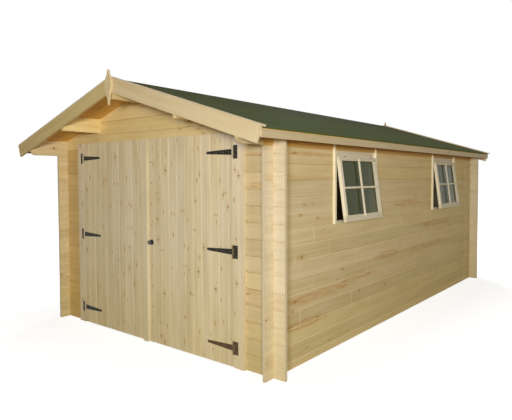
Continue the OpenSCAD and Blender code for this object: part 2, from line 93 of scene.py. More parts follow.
# Other colours
END_GRAIN = (0.620, 0.530, 0.360)
KNOT, DARK_KNOT, KNOT_RIM = (0.40, 0.170, 0.025), (0.24, 0.085, 0.012), (0.130, 0.050, 0.010)
# Painted shade: the wood is browner towards the ground
GROUND_SHADE = (0.96, 0.94, 0.82)                         # multiplies the wood at the ground
FELT_DARK, FELT_LIGHT = (0.064, 0.083, 0.025), (0.126, 0.153, 0.051)
JAPAN, SCUFFED_JAPAN = (0.008, 0.007, 0.004), (0.040, 0.042, 0.028)
RUST, PALE_RUST = (0.110, 0.045, 0.018), (0.150, 0.090, 0.045)
# The pale knuckle colour is a painted highlight; the rusty one is rust
KNUCKLE_HIGHLIGHT, RUSTY_KNUCKLE = (0.56, 0.47, 0.31), (0.150, 0.110, 0.055)

# Heights at which the look of the wood or the iron changes
BARS_FROM, BARS_FULL = 1.45, 1.15                 # pale bars begin below the one, full at the other
# Joint lines are pale below the first height, painted highlight on the bevels facing up, and brown above the
# second, painted shade on the bevels facing down
HIGHLIGHT_JOINTS_TO, SHADED_JOINTS_FROM = 1.35, 1.60
# the painted shade towards the ground begins at this height
GROUND_SHADE_TO = 1.2
KNUCKLE_HIGHLIGHTS_FROM = 1.5                          # the top hinges' knuckles have a pale painted highlight on both doors


# ---------------------------------------------------------------- shader graphs

class Graph:
    """One node material, with short ways to add nodes and join them."""

    def __init__(self, name):
        self.material = bpy.data.materials.new(name)
        self.material.use_nodes = True
        self.tree = self.material.node_tree
        self.bsdf = self.tree.nodes["Principled BSDF"]
        self.output = self.tree.nodes["Material Output"]

    def put(self, socket, value):
        """Links an output to the socket, or sets its value; a colour may leave out its alpha."""
        if isinstance(value, bpy.types.NodeSocket):
            self.tree.links.new(value, socket)
        elif isinstance(value, (tuple, list)) and len(value) == 3 and len(socket.default_value) == 4:
            socket.default_value = (*value, 1.0)
        else:
            socket.default_value = value

    def add(self, kind, inputs=(), **settings):
        node = self.tree.nodes.new(kind)
        for key, value in settings.items():
            setattr(node, key, value)
        for key, value in dict(inputs).items():
            self.put(node.inputs[key], value)
        return node

    def math(self, operation, a, b=0.0, clamp=False):
        node = self.add("ShaderNodeMath", {0: a, 1: b}, operation=operation, use_clamp=clamp)
        return node.outputs[0]

    def plus(self, *values):
        total = values[0]
        for value in values[1:]:
            total = self.math("ADD", total, value)
        return total

    def times(self, *values):
        total = values[0]
        for value in values[1:]:
            total = self.math("MULTIPLY", total, value)
        return total

    def distance(self, a, b):
        """How far away two offsets at right angles lead."""
        return self.math("SQRT", self.plus(self.times(a, a), self.times(b, b)))

    def vector(self, x, y, z):
        return self.add("ShaderNodeCombineXYZ", {0: x, 1: y, 2: z}).outputs[0]

    def split(self, vector):
        return self.add("ShaderNodeSeparateXYZ", {0: vector}).outputs[:3]

    def mix(self, factor, a, b, blend="MIX"):
        node = self.add("ShaderNodeMix", {0: factor, 6: a, 7: b}, data_type="RGBA", blend_type=blend)
        return node.outputs[2]

    def blend(self, factor, a, b):
        return self.add("ShaderNodeMix", {0: factor, 2: a, 3: b}, data_type="FLOAT").outputs[0]

    def smooth(self, value, low, high, to_low=0.0, to_high=1.0):
        """Runs smoothly from to_low to to_high as value runs from low to high."""
        return self.add("ShaderNodeMapRange", {0: value, 1: low, 2: high, 3: to_low, 4: to_high},
                        interpolation_type="SMOOTHSTEP").outputs[0]

    def noise(self, vector, scale=1.0, detail=2.0, roughness=0.5, distortion=0.0):
        return self.add("ShaderNodeTexNoise", {"Vector": vector, "Scale": scale, "Detail": detail,
                                               "Roughness": roughness, "Distortion": distortion}).outputs[0]

    def chance(self, number):
        """Three even random numbers for a whole number."""
        dice = self.add("ShaderNodeTexWhiteNoise", {"W": number}, noise_dimensions="1D")
        return self.split(dice.outputs[1])

    def place(self):
        """Where a point lies: x, y and z in the model's frame."""
        return self.split(self.add("ShaderNodeTexCoord").outputs["Object"])

    def facing(self):
        """Where a point's surface faces: x, y and z of its normal."""
        return self.split(self.add("ShaderNodeTexCoord").outputs["Normal"])

    def bump(self, height, strength, distance):
        self.put(self.bsdf.inputs["Normal"],
                 self.add("ShaderNodeBump", {"Height": height, "Strength": strength,
                                             "Distance": distance}).outputs[0])

    def finish(self, colour, roughness, specular):
        """Sets the look of the surface and returns the material."""
        self.put(self.bsdf.inputs["Base Color"], colour)
        self.put(self.bsdf.inputs["Roughness"], roughness)
        self.bsdf.inputs["Specular IOR Level"].default_value = specular
        return self.material


def scaled(colour, *factors):
    """A colour times one factor, or times three."""
    factors = factors * 3 if len(factors) == 1 else factors
    return tuple(min(1.0, v * k) for v, k in zip(colour, factors))


def cell_knots(g, along, across, cell, seeds, amount):
    """Knots at random places, at most one to a cell: offsets along and across, radius, presence and tone."""
    cell_l, cell_a = cell
    here = g.vector(g.plus(g.math("DIVIDE", along, cell_l), g.times(seeds[0], 37.0)),
                    g.plus(g.math("DIVIDE", across, cell_a), g.times(seeds[1], 11.0)), 0.0)
    cells = g.add("ShaderNodeTexVoronoi", {"Vector": here, "Scale": 1.0, "Randomness": 0.9},
                  voronoi_dimensions="2D")
    hx, hy, _ = g.split(here)
    cx, cy, _ = g.split(cells.outputs["Position"])
    size, keep, tone = g.split(cells.outputs["Color"])
    return (g.times(g.math("SUBTRACT", hx, cx), cell_l), g.times(g.math("SUBTRACT", hy, cy), cell_a),
            g.plus(3.5 * MM, g.times(g.math("POWER", size, 2.2), 8 * MM)),
            g.math("LESS_THAN", keep, amount), tone)


def knots(g, along, across, cell, seeds, amount, placed):
    """Round knots through the wood from face to face: random ones and the placed (along, across, mm radius).

    Returns how much of a point is knot, its dark rim, the halo along the grain, the across place
    bent round the random knots, and a random tone."""
    away_l, away_a, radius, present, tone = cell_knots(g, along, across, cell, seeds, amount)
    wobble = g.noise(g.vector(g.times(along, 55.0), g.times(across, 55.0), seeds[0]), detail=1.0)
    uneven = g.plus(0.6, g.times(wobble, 0.8))

    def marks(away_l, away_a, radius, present):
        away = g.distance(away_l, away_a)
        ratio = g.times(g.math("DIVIDE", away, radius), uneven)
        stretched = g.math("DIVIDE", g.distance(g.times(away_l, 0.36), away_a), radius)
        core = g.times(g.smooth(ratio, 1.12, 0.80), present)
        rim = g.times(g.smooth(ratio, 0.66, 0.92), core)
        halo = g.times(g.smooth(g.times(stretched, uneven), 2.9, 0.7), present)
        pull = g.times(g.smooth(away, 45 * MM, 0.0), present, 0.8)
        return core, rim, halo, g.times(away_a, pull)

    core, rim, halo, pull = marks(away_l, away_a, radius, present)
    for knot_l, knot_a, knot_r in placed:
        more = marks(g.math("SUBTRACT", along, knot_l), g.math("SUBTRACT", across, knot_a),
                     knot_r * MM, 1.0)
        core, rim, halo = (g.math("MAXIMUM", a, b) for a, b in zip((core, rim, halo), more))
    return core, rim, halo, g.math("SUBTRACT", across, pull), tone


def flames(g, along, across, spots):
    """Ringed figures of dark heartwood at (along, across, half length, half width)."""
    total = 0.0
    for flame_l, flame_a, half_l, half_a in spots:
        u = g.math("DIVIDE", g.math("SUBTRACT", along, flame_l), half_l)
        v = g.math("DIVIDE", g.math("SUBTRACT", across, flame_a), half_a)
        away = g.distance(u, v)
        rough = g.noise(g.vector(g.times(along, 6.0), g.times(across, 40.0), flame_l), detail=2.0)
        rings = g.math("SINE", g.plus(g.times(away, 17.0), g.times(rough, 9.0)))
        drawn = g.times(g.smooth(away, 1.05, 0.60), g.smooth(rings, -0.4, 0.9, 0.42, 1.0),
                        g.smooth(rough, 0.25, 0.5))
        total = g.math("MAXIMUM", total, drawn)
    return total


def ticks(g, along, number, every):
    """Pale marks across the board of that number, one in most stretches of the length every."""
    row = g.plus(g.math("DIVIDE", along, every), g.times(g.chance(number)[2], 5.0))
    place, keep, strength = g.chance(g.plus(g.math("FLOOR", row), g.times(number, 17.3)))
    away = g.math("ABSOLUTE", g.math("SUBTRACT", g.math("FRACT", row), g.plus(0.25, g.times(place, 0.5))))
    return g.times(g.smooth(g.times(away, every), 14 * MM, 4 * MM), g.math("GREATER_THAN", keep, 0.15),
                   g.plus(0.35, g.times(strength, 0.65)))


def wood(name, along, across, tones, pitch=None, start=0.0, seed=0.0, cell=(0.42, 0.16), amount=0.5,
         figure=1.0, boards=1.0, bars=0.0, joints=None, placed=(), hearts=(), upright=None, turn=None,
         sawn=None, painted_light_from=None, painted_shade=None):
    """Planed softwood. along and across are axes of the grain; pitch and start give the boards side by side.

    tones are its light, dark and heart colours. figure, boards and bars set how strong the grain, the
    differences between boards and the pale marks across the boards low on the wall are.
    cell is the size of a place for one random knot, along and across, and amount the share that has one;
    placed holds further knots, as in knots(), and hearts further dark figures, as in flames().
    joints is (pale, brown, half width) of the lines at the boards' joints: how strong the pale ones low on
    the wall, painted highlight on the bevels, and the brown ones higher up, painted shade on the bevels, are.
    Where pale is 0, the brown ones run all the way down, as dark joints.
    upright is (axis, low, high, bottom, top): outside low to high on that axis, and between bottom and
    top, the grain runs up and the wood is paler.
    turn is an angle about Y that lays the grain along a slope; sawn is the colour of sawn ends.
    painted_light_from is how far from the middle, along the grain, the log ends begin, which are paler on the
    right side, as painted light.
    painted_shade is (from, to, colour): between those places along the grain the wood takes on that colour,
    as painted shade.
    All wood is a little browner towards the ground, as painted shade."""
    g = Graph(name)
    light, dark, heart = tones
    axes = list(g.place())
    if turn is not None:
        x, _, z = axes
        c, s = math.cos(turn), math.sin(turn)
        axes[X] = g.plus(g.times(x, c), g.times(z, s))
        axes[Z] = g.math("SUBTRACT", g.times(z, c), g.times(x, s))
    length, width, depth = axes[along], axes[across], axes[X + Y + Z - along - across]
    if upright is not None:
        axis, low, high, bottom, top = upright
        outside = g.math("ADD", g.math("LESS_THAN", axes[axis], low),
                         g.math("GREATER_THAN", axes[axis], high), clamp=True)
        outside = g.times(outside, g.math("GREATER_THAN", axes[Z], bottom), g.math("LESS_THAN", axes[Z], top))
        length, width = g.blend(outside, length, axes[Z]), g.blend(outside, width, axes[axis])
        number = g.plus(g.times(outside, 3.0), seed)
        paler = g.plus(0.87, g.times(outside, 0.17))
    elif pitch is not None:
        number = g.plus(g.math("FLOOR", g.math("DIVIDE", g.math("SUBTRACT", width, start), pitch)), seed)
    else:
        number = seed
    r1, r2, r3 = g.chance(number)
    core, rim, halo, bent, tone = knots(g, length, width, cell, (r1, r2), amount, placed)
    shift = g.times(r3, 23.0)

    def grain(per_length, per_width, **more):
        return g.noise(g.vector(g.plus(g.times(length, per_length), shift),
                                g.plus(g.times(bent, per_width), shift), g.times(depth, per_width)), **more)

    fine = grain(4.0, 210.0, detail=2.0, roughness=0.6)
    streak = grain(0.8, 26.0, detail=3.0, roughness=0.55, distortion=0.2)
    broad = grain(0.9, 7.0, detail=2.0, distortion=0.3)
    cloud = grain(2.2, 5.0, detail=1.0)
    sway = grain(0.7, 4.5, detail=1.0)
    phase = g.plus(g.times(bent, 330.0), g.times(sway, 34.0))
    lines = g.math("POWER", g.plus(g.times(g.math("SINE", phase), 0.5), 0.5), 2.0)

    figured = g.plus(g.times(lines, 0.07), g.times(streak, 0.72), g.times(fine, 0.24), g.times(cloud, 0.34))
    colour = g.mix(g.smooth(figured, 0.40, 1.02, 0.0, min(1.0, 0.8 * figure)), light, dark)
    flame = g.times(g.smooth(broad, 0.56, 0.74), g.smooth(r1, 0.30, 0.80), g.plus(0.2, g.times(lines, 0.6)),
                    figure, 0.8)
    if hearts:
        flame = g.math("MAXIMUM", flame, g.times(flames(g, length, width, hearts), 0.8))
    colour = g.mix(flame, colour, heart)
    past = 0.0                                    # how far a point lies on a paler log end
    # The log ends on the right side are paler: painted light
    if painted_light_from is not None:
        past = g.times(g.smooth(g.math("ABSOLUTE", length), painted_light_from - 6 * MM, painted_light_from + 6 * MM),
                       g.math("GREATER_THAN", axes[X], 0.0))
        gain = [g.plus(1.0, g.times(past, more)) for more in (0.06, 0.12, 0.36)]
        colour = g.mix(1.0, colour, g.vector(*gain), "MULTIPLY")
    uneven = g.blend(past, boards, 0.35 * boards)
    level = g.plus(1.0, g.times(uneven, g.plus(-0.09, g.times(r2, 0.18))))
    yellow = g.plus(1.0, g.times(uneven, g.plus(-0.06, g.times(r3, 0.12))))
    colour = g.mix(1.0, colour, g.vector(level, level, g.times(level, yellow)), "MULTIPLY")
    if upright is not None:
        colour = g.mix(1.0, colour, g.vector(paler, paler, paler), "MULTIPLY")
    if bars:
        low = g.times(g.smooth(axes[Z], BARS_FROM, BARS_FULL), bars, g.smooth(cloud, 0.35, 0.60))
        colour = g.mix(g.times(ticks(g, length, number, every=0.46), low), colour,
                       scaled(light, 1.20, 1.24, 1.36))
    # Pale joint lines are painted highlight and brown ones higher up painted shade on the bevels; where pale
    # is 0 they are dark joints
    if joints is not None:
        pale, brown, half_line = joints
        row = g.math("FRACT", g.math("DIVIDE", g.math("SUBTRACT", width, start), pitch))
        from_joint = g.times(g.math("MINIMUM", row, g.math("SUBTRACT", 1.0, row)), pitch)
        line = g.smooth(from_joint, half_line, half_line * 0.35)
        line = g.times(line, g.math("SUBTRACT", 1.0, g.times(past, 0.8)))
        high = g.smooth(axes[Z], HIGHLIGHT_JOINTS_TO, SHADED_JOINTS_FROM)
        highlight_line = g.times(line, pale, g.math("SUBTRACT", 1.0, high))
        brown_line = g.times(line, brown, high) if pale else g.times(line, brown)
        colour = g.mix(highlight_line, colour, scaled(light, 1.25, 1.3, 1.45))
        colour = g.mix(brown_line, colour, scaled(heart, 0.75))
    colour = g.mix(g.times(halo, 0.38), colour, scaled(heart, 0.95))
    colour = g.mix(g.times(core, 0.85), colour, g.mix(tone, KNOT, DARK_KNOT))
    colour = g.mix(g.times(rim, 0.40), colour, KNOT_RIM)
    # Painted shade along the grain: the side walls towards the back, and the right plate behind the log ends
    if painted_shade is not None:
        begin, end, shade_tone = painted_shade
        colour = g.mix(g.smooth(length, begin, end), colour, shade_tone, "MULTIPLY")
    # Painted shade: browner towards the ground
    colour = g.mix(g.smooth(axes[Z], GROUND_SHADE_TO, 0.0), colour, GROUND_SHADE, "MULTIPLY")
    if sawn is not None:
        end = g.smooth(g.math("ABSOLUTE", g.facing()[along]), 0.85, 0.97)
        from_centre = g.distance(g.plus(width, 0.11), g.plus(depth, 0.02))
        rings = g.math("SINE", g.times(from_centre, 1500.0))
        sawn_colour = g.mix(g.smooth(rings, -0.2, 1.0, 0.0, 0.35), sawn, scaled(sawn, 0.78, 0.70, 0.58))
        colour = g.mix(g.times(end, 0.85), colour, sawn_colour)
    g.bump(g.plus(g.times(lines, -0.5), g.math("SUBTRACT", fine, core)), 0.35, 0.35 * MM)
    return g.finish(colour, g.blend(core, 0.58, 0.42), 0.3)


def felt_material():
    """Green mineral felt: coarse grit in a dark ground, patchy, and darker towards the ridge as painted
    shade.
    """
    g = Graph("green_felt")
    x, y, z = g.place()
    here = g.vector(x, y, z)
    grit = g.noise(here, 420.0, 2.0, 0.7)
    clouds = g.noise(here, 1.6, 3.0, 0.6)
    colour = g.mix(g.smooth(grit, 0.35, 0.7), FELT_DARK, FELT_LIGHT)
    colour = g.mix(g.smooth(clouds, 0.35, 0.7, 0.0, 0.30), colour, scaled(FELT_DARK, 1.15, 1.05, 1.1))
    # Darker towards the ridge: painted shade
    colour = g.mix(g.smooth(z, 2.20, 2.56, 0.0, 0.80), colour, scaled(FELT_DARK, 0.88, 0.68, 0.72))
    g.bump(grit, 0.5, 1.0 * MM)
    return g.finish(colour, 0.92, 0.08)


def iron_material(name, pin, knuckle, rust_box=None):
    """Black japanned iron, scuffed and a little rusty, with its knuckles round the pins in another colour, a
    pale painted highlight on the top hinges.

    pin is the distance of the pins from the middle, and knuckle the colour there below the top hinges;
    rust_box is (low x, high x, low z, high z), the place with much more rust."""
    g = Graph(name)
    x, y, z = g.place()
    here = g.vector(x, y, z)
    scuff = g.noise(here, 90.0, 3.0, 0.65)
    spots = g.noise(here, 45.0, 2.0, 0.6)
    colour = g.mix(g.smooth(scuff, 0.42, 0.72), JAPAN, SCUFFED_JAPAN)
    rust = g.smooth(spots, 0.58, 0.72, 0.0, 0.5)
    if rust_box:
        x0, x1, z0, z1 = rust_box
        inside = g.times(g.math("GREATER_THAN", x, x0), g.math("LESS_THAN", x, x1),
                         g.math("GREATER_THAN", z, z0), g.math("LESS_THAN", z, z1))
        rust = g.math("MAXIMUM", rust, g.times(inside, g.smooth(spots, 0.30, 0.62, 0.25, 0.85)))
    colour = g.mix(rust, colour, g.mix(scuff, RUST, PALE_RUST))
    # Knuckles round the pins: pale painted highlight above the given height, the knuckle colour below
    from_pin = g.math("ABSOLUTE", g.math("SUBTRACT", g.math("ABSOLUTE", x), pin))
    colour = g.mix(g.smooth(from_pin, KNUCKLE_R + 2 * MM, KNUCKLE_R, 0.0, 0.85), colour,
                   g.mix(g.math("GREATER_THAN", z, KNUCKLE_HIGHLIGHTS_FROM), knuckle, KNUCKLE_HIGHLIGHT))
    g.bump(scuff, 0.4, 0.5 * MM)
    return g.finish(colour, 0.5, 0.2)


def plain_metal(name, colour, roughness):
    """Coated or rusty metal of small pieces, a little uneven."""
    g = Graph(name)
    x, y, z = g.place()
    cloud = g.noise(g.vector(x, y, z), 160.0, 2.0, 0.6)
    g.bump(cloud, 0.2, 0.2 * MM)
    return g.finish(g.mix(g.smooth(cloud, 0.35, 0.7), colour, scaled(colour, 0.6)), roughness, 0.5)


def glass_material():
    """Dark window glass with a thin film of dust, clear enough to show the sides of the opening behind it;
    its green colour and yellow-green specular tint are a painted reflection of greenery.
    """
    g = Graph("glass")
    x, y, z = g.place()
    dust = g.noise(g.vector(x, y, z), 14.0, 3.0, 0.6)
    g.bsdf.inputs["IOR"].default_value = 1.45
    # Painted reflection: the green colour and yellow-green specular tint stand in for greenery reflected in
    # the glass
    g.bsdf.inputs["Specular Tint"].default_value = (0.80, 1.0, 0.25, 1.0)
    g.bsdf.inputs["Alpha"].default_value = 0.55
    return g.finish(g.mix(dust, (0.040, 0.050, 0.018), (0.066, 0.076, 0.030)), 0.04, 0.5)


# ---------------------------------------------------------------- finishes of the CAD nodes

def paint(material, *names):
    """Gives the CAD nodes of those names the material."""
    for name in names:
        for slot in nodes[name].material_slots:
            slot.material = material


# The side wall's knots (along, up, mm radius) and dark figures (along, up, half length, half width)
SIDE_KNOTS = ((-2.08, 0.96, 14), (-2.10, 1.33, 9), (-1.36, 0.75, 10), (-0.39, 0.43, 9), (-1.00, 0.47, 11),
              (-1.82, 1.29, 8), (-0.45, 0.77, 10), (-2.19, 0.58, 11), (-2.22, 0.50, 8))
SIDE_HEARTS = ((-1.75, 0.58, 0.75, 0.055), (-1.05, 0.62, 0.50, 0.035), (-2.05, 0.36, 0.45, 0.055),
               (-0.30, 0.77, 0.42, 0.050), (0.25, 1.34, 0.60, 0.045), (1.30, 1.03, 0.80, 0.050),
               (0.95, 0.75, 0.90, 0.050), (-1.90, 1.87, 0.55, 0.022))


def finish_logs():
    """Walls, gables, plates and purlins.

    The front is browner left of the doors as painted shade, the gables and purlins are paler as painted
    light, the side walls turn a little browner towards the back as painted shade, and the right plate is
    brown from the front log ends back, under the eave, as painted shade."""
    lines = (0.0, 0.35, 3.5 * MM)
    # Paler, yellower copy of the pine for the gables and purlins under the roof: painted light
    paler = [scaled(tone, 1.15, 1.12, 0.93) for tone in PINE]
    # Browner copy of the pine for the front left of the doors: painted shade
    browner = [scaled(tone, 0.96, 0.84, 0.60) for tone in PINE]
    # Log ends on the right are paler: painted light
    across = wood("pine_logs_across", X, Z, PINE, LOG, 0.0, seed=11.0, joints=lines, sawn=END_GRAIN,
                  painted_light_from=HALF_W, hearts=((1.44, 1.60, 0.18, 0.035), (1.42, 1.86, 0.20, 0.018)))
    # Side walls: browner towards the back, painted shade; joint lines pale low down, painted highlight, and
    # brown higher up, painted shade; log ends on the right paler, painted light
    sides = wood("pine_logs_along", Y, Z, PINE, LOG, HALF_LOG, seed=43.0, amount=0.35, figure=1.3, bars=0.45,
                 joints=(0.75, 0.15, 6 * MM), placed=SIDE_KNOTS, hearts=SIDE_HEARTS, sawn=END_GRAIN,
                 painted_light_from=-FRONT_Y, painted_shade=(-2.2, 2.4, (1.0, 0.96, 0.76)))
    gable = wood("pine_gables", X, Z, paler, LOG, 0.0, seed=15.0, joints=lines,
                 placed=((-0.33, 2.45, 7), (0.45, 2.13, 7), (0.70, 2.11, 7)))
    brown = wood("pine_logs_painted_shade", X, Z, browner, LOG, 0.0, seed=11.0, joints=lines, sawn=END_GRAIN)
    # The right plate is brown behind the log ends, painted shade under the eave, and stays pale where it runs
    # out past them
    log_ends = FRONT_Y - 120 * MM
    shaded = wood("pine_shaded_plate", Y, Z, PINE, seed=48.0, boards=0.2,
                  painted_shade=(log_ends - 10 * MM, log_ends, (0.95, 0.73, 0.37)))
    purlins = wood("pine_beams", Y, X, paler, pitch=0.5, start=0.25, seed=70.0)
    paint(brown, "front_wall_left")
    paint(across, "front_wall_right", "back_wall")
    paint(gable, "front_gable", "back_gable")
    paint(sides, "left_wall", "right_wall_lower", "right_wall_front_pier", "right_wall_middle_pier",
          "right_wall_rear_pier", "left_wall_plate")
    paint(shaded, "right_wall_plate")
    paint(purlins, "ridge_purlin", "left_purlin", "right_purlin")


def finish_trim():
    """Fascias, barge boards and capping strips; the left barge boards are browner."""
    fascia = [scaled(tone, 0.86, 0.85, 0.80) for tone in TRIM]
    browner = [scaled(tone, 0.90, 0.87, 0.67) for tone in TRIM]
    paint(wood("pine_fascia", Y, Z, fascia, seed=5.0), "fascia_left", "fascia_right")
    for side, turn, tones in (("right", -PITCH, TRIM), ("left", PITCH, browner)):
        board = wood(f"pine_barge_{side}", X, Z, tones, seed=6.0, turn=turn, amount=0.3)
        paint(board, f"front_barge_{side}", f"back_barge_{side}")
    paint(wood("pine_caps", X, Y, TRIM, seed=8.0, amount=0.2), "barge_caps")


def finish_door_parts():
    """Posts, head, cover strip, ledges, hinges and knob; the right door's lowest hinge is the rustiest."""
    posts = wood("door_posts_pine", Z, X, DOOR, pitch=0.5, seed=20.0, cell=(0.22, 0.12), amount=0.6,
                 placed=((1.73, 1.17, 7), (1.68, 1.21, 9), (1.13, 1.18, 6), (1.47, 1.16, 7)))
    paint(posts, "door_post_left", "door_post_right")
    # The cover strip's tones are a little darker than the door's: painted shade
    strip = [scaled(tone, 0.93, 0.95, 0.94) for tone in DOOR]
    paint(wood("door_strip_pine", Z, X, strip, seed=22.0, amount=0.2), "door_cover_strip")
    paint(wood("door_ledge_pine", X, Z, DOOR, seed=24.0), "door_head", "left_door_ledges",
          "right_door_ledges")
    plates_low, plates_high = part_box("right_hinge_plates")
    pin = plates_high.x - PLATE_TO_PIN
    lowest_hinge = (pin - 0.5, 2.0, plates_low.z - 10 * MM, plates_low.z + 130 * MM)
    # The black iron's knuckles take the pale painted highlight all the way down
    black = iron_material("black_iron", pin, KNUCKLE_HIGHLIGHT)
    rusty = iron_material("rusty_iron", pin, RUSTY_KNUCKLE, lowest_hinge)
    paint(black, "left_hinge_plates", "left_hinge_straps")
    paint(rusty, "right_hinge_plates", "right_hinge_straps")
    paint(plain_metal("knob_black", (0.020, 0.017, 0.013), 0.22), "door_knob")


def finish_windows():
    """Frames and sashes, with upright grain in their upright members, and the glass."""
    for place in ("front", "rear"):
        low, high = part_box(f"{place}_window_frame")
        upright = (Y, low.y + FRAME_SIDE, high.y - FRAME_SIDE, low.z, high.z)
        paint(wood(f"{place}_frame_pine", Y, Z, WINDOW, seed=30.0, amount=0.2, upright=upright),
              f"{place}_window_frame")
        low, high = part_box(f"{place}_window_sash")
        upright = (Y, low.y + STILE, high.y - STILE, low.z + BOTTOM_RAIL, high.z - TOP_RAIL)
        paint(wood(f"{place}_sash_pine", Y, Z, WINDOW, seed=34.0, amount=0.2, upright=upright),
              f"{place}_window_sash")
    paint(glass_material(), "window_glass")


# ---------------------------------------------------------------- pieces in mesh code

def piece(name, mesh, material, body):
    """Makes a piece of the mesh, with its material and the body it moves with."""
    bmesh.ops.remove_doubles(mesh, verts=mesh.verts, dist=1e-6)
    bmesh.ops.recalc_face_normals(mesh, faces=mesh.faces)
    data = bpy.data.meshes.new(name)
    mesh.to_mesh(data)
    mesh.free()
    data.materials.append(material)
    made = bpy.data.objects.new(name, data)
    bpy.context.scene.collection.objects.link(made)
    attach(made, body)
    return made


def skin(mesh, first, last):
    """The sides between two rings of points, closed at both ends."""
    rings = [[mesh.verts.new(point) for point in ring] for ring in (first, last)]
    count = len(first)
    for i in range(count):
        j = (i + 1) % count
        mesh.faces.new((rings[0][i], rings[0][j], rings[1][j], rings[1][i]))
    mesh.faces.new(rings[0][::-1])
    mesh.faces.new(rings[1])


def prism(mesh, outline, low, high, place):
    """A bar with that 2-D outline, from low to high; place turns (u, v, along) into a point."""
    skin(mesh, *([place(u, v, w) for u, v in outline] for w in (low, high)))


def board_section(a0, a1, thickness, vee, last):
    """Section of a tongued and grooved board from a0 to a1: vee joints at v = 0, its back at v = thickness.

    The last board of a row has no tongue."""
    gap, tongue, reach = 0.3 * MM, 5 * MM, 6 * MM
    low, high = a0 + gap, a1 - gap
    t0, t1 = (thickness - tongue) / 2, (thickness + tongue) / 2
    slack = 0.4 * MM
    outline = [(low + vee, 0), (high - vee, 0), (high, vee),
               (high, t0), (high + reach, t0), (high + reach, t1), (high, t1),
               (high, thickness - vee / 2), (high - vee / 2, thickness),
               (low + vee / 2, thickness), (low, thickness - vee / 2),
               (low, t1 + slack), (low + reach + slack, t1 + slack),
               (low + reach + slack, t0 - slack), (low, t0 - slack), (low, vee)]
    return [(min(u, high), v) for u, v in outline] if last else outline


# The doors' knots (up, across, mm radius) and small curly figures (up, across, half length, half width)
DOOR_KNOTS = {
    "left": ((1.60, -0.51, 7), (1.42, -0.51, 6), (1.36, -0.27, 6), (1.14, -0.27, 7), (1.53, -1.08, 7)),
    "right": ((1.64, 0.70, 7), (1.45, 0.68, 8), (1.40, 1.08, 7), (1.51, 1.03, 7), (1.00, 0.58, 6),
              (1.31, 0.39, 5))}
DOOR_HEARTS = {
    "left": ((1.60, -0.57, 0.015, 0.035), (1.38, -0.28, 0.012, 0.030)),
    "right": ((1.51, 0.14, 0.015, 0.045), (1.35, 0.51, 0.018, 0.050), (1.33, 0.94, 0.015, 0.035),
              (1.18, 0.66, 0.015, 0.045), (0.95, 0.21, 0.014, 0.040), (0.94, 0.74, 0.015, 0.045),
              (0.83, 0.53, 0.014, 0.035), (0.57, 0.63, 0.014, 0.035), (1.53, 1.05, 0.016, 0.035))}


def door_boards(side, joint, pitch, seed):
    """A leaf's upright boards, which stand for its solid slab: joint is the place of one joint along x."""
    low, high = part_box(f"{side}_door_leaf")
    narrowest = 15 * MM
    joints = [low.x] + [x for x in (joint + pitch * k for k in range(-12, 13))
                        if low.x + narrowest < x < high.x - narrowest] + [high.x]
    mesh = bmesh.new()
    for a0, a1 in zip(joints, joints[1:]):
        prism(mesh, board_section(a0, a1, high.y - low.y, 3.5 * MM, a1 == high.x), low.z, high.z,
              lambda u, v, w: (u, low.y + v, w))
    material = wood(f"door_pine_{side}", Z, X, DOOR, pitch, joint, seed=seed, cell=(0.24, 0.11), amount=0.62,
                    figure=1.35, boards=0.65, joints=(0.0, 0.35, 3 * MM), placed=DOOR_KNOTS[side],
                    hearts=DOOR_HEARTS[side])
    boards = piece(f"{side}_door_boards", mesh, material, f"{side}_door")
    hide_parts(f"{side}_door_leaf")


def roof_boards(side):
    """The roof boards of one slope, side by side along the ridge, vee joints down."""
    node = f"roof_boards_{side}"
    low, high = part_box(node)
    sign = 1 if side == "right" else -1
    eave = max(abs(low.x), abs(high.x))
    near_ridge = 0.15 * MM
    underside = high.z - ROOF_BOARD_T / math.cos(PITCH)       # its height at the ridge
    about = 95 * MM
    count = round((high.y - low.y) / about)
    pitch = (high.y - low.y) / count

    def ring(outline, x):
        base = underside - x * math.tan(PITCH)
        return [(sign * x, u, base + v / math.cos(PITCH)) for u, v in outline]

    mesh = bmesh.new()
    for k in range(count):
        outline = board_section(low.y + k * pitch, low.y + (k + 1) * pitch, ROOF_BOARD_T, 3 * MM,
                                k == count - 1)
        skin(mesh, ring(outline, near_ridge), ring(outline, eave))
    # Browner, more orange tones: painted shade under the eaves
    material = wood(f"soffit_pine_{side}", X, Y, SHADED_SOFFIT, pitch, low.y, seed=130.0, cell=(0.5, 0.1))
    boards = piece(f"{side}_roof_boards", mesh, material, "garage")
    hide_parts(node)


def finial_boards():
    """Slender pointed boards in the place of the finials, widest where they cover the barge boards' joint."""
    low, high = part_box("finials")
    middle, half, thick = (low.x + high.x) / 2, (high.x - low.x) / 2, 24 * MM
    height = high.z - low.z
    # Shares of the whole height and of the greatest half width
    shape = ((0.00, 0.05), (0.15, 0.15), (0.30, 0.50), (0.46, 0.92), (0.56, 1.00), (0.70, 0.95), (0.77, 0.64),
             (0.85, 0.32), (0.92, 0.18), (1.00, 0.05))
    right = [(middle + half * wide, low.z + height * up) for up, wide in shape]
    outline = right + [(2 * middle - x, z) for x, z in reversed(right)]
    front_back, rear_back = low.y + FINIAL_T, high.y - FINIAL_T
    mesh = bmesh.new()
    for start, stop in ((front_back - thick, front_back), (rear_back, rear_back + thick)):
        prism(mesh, outline, start, stop, lambda u, v, w: (u, w, v))
    material = wood("pine_finials", Z, X, TRIM, seed=9.0, amount=0.2)
    boards = piece("finial_boards", mesh, material, "garage")
    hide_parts("finials")


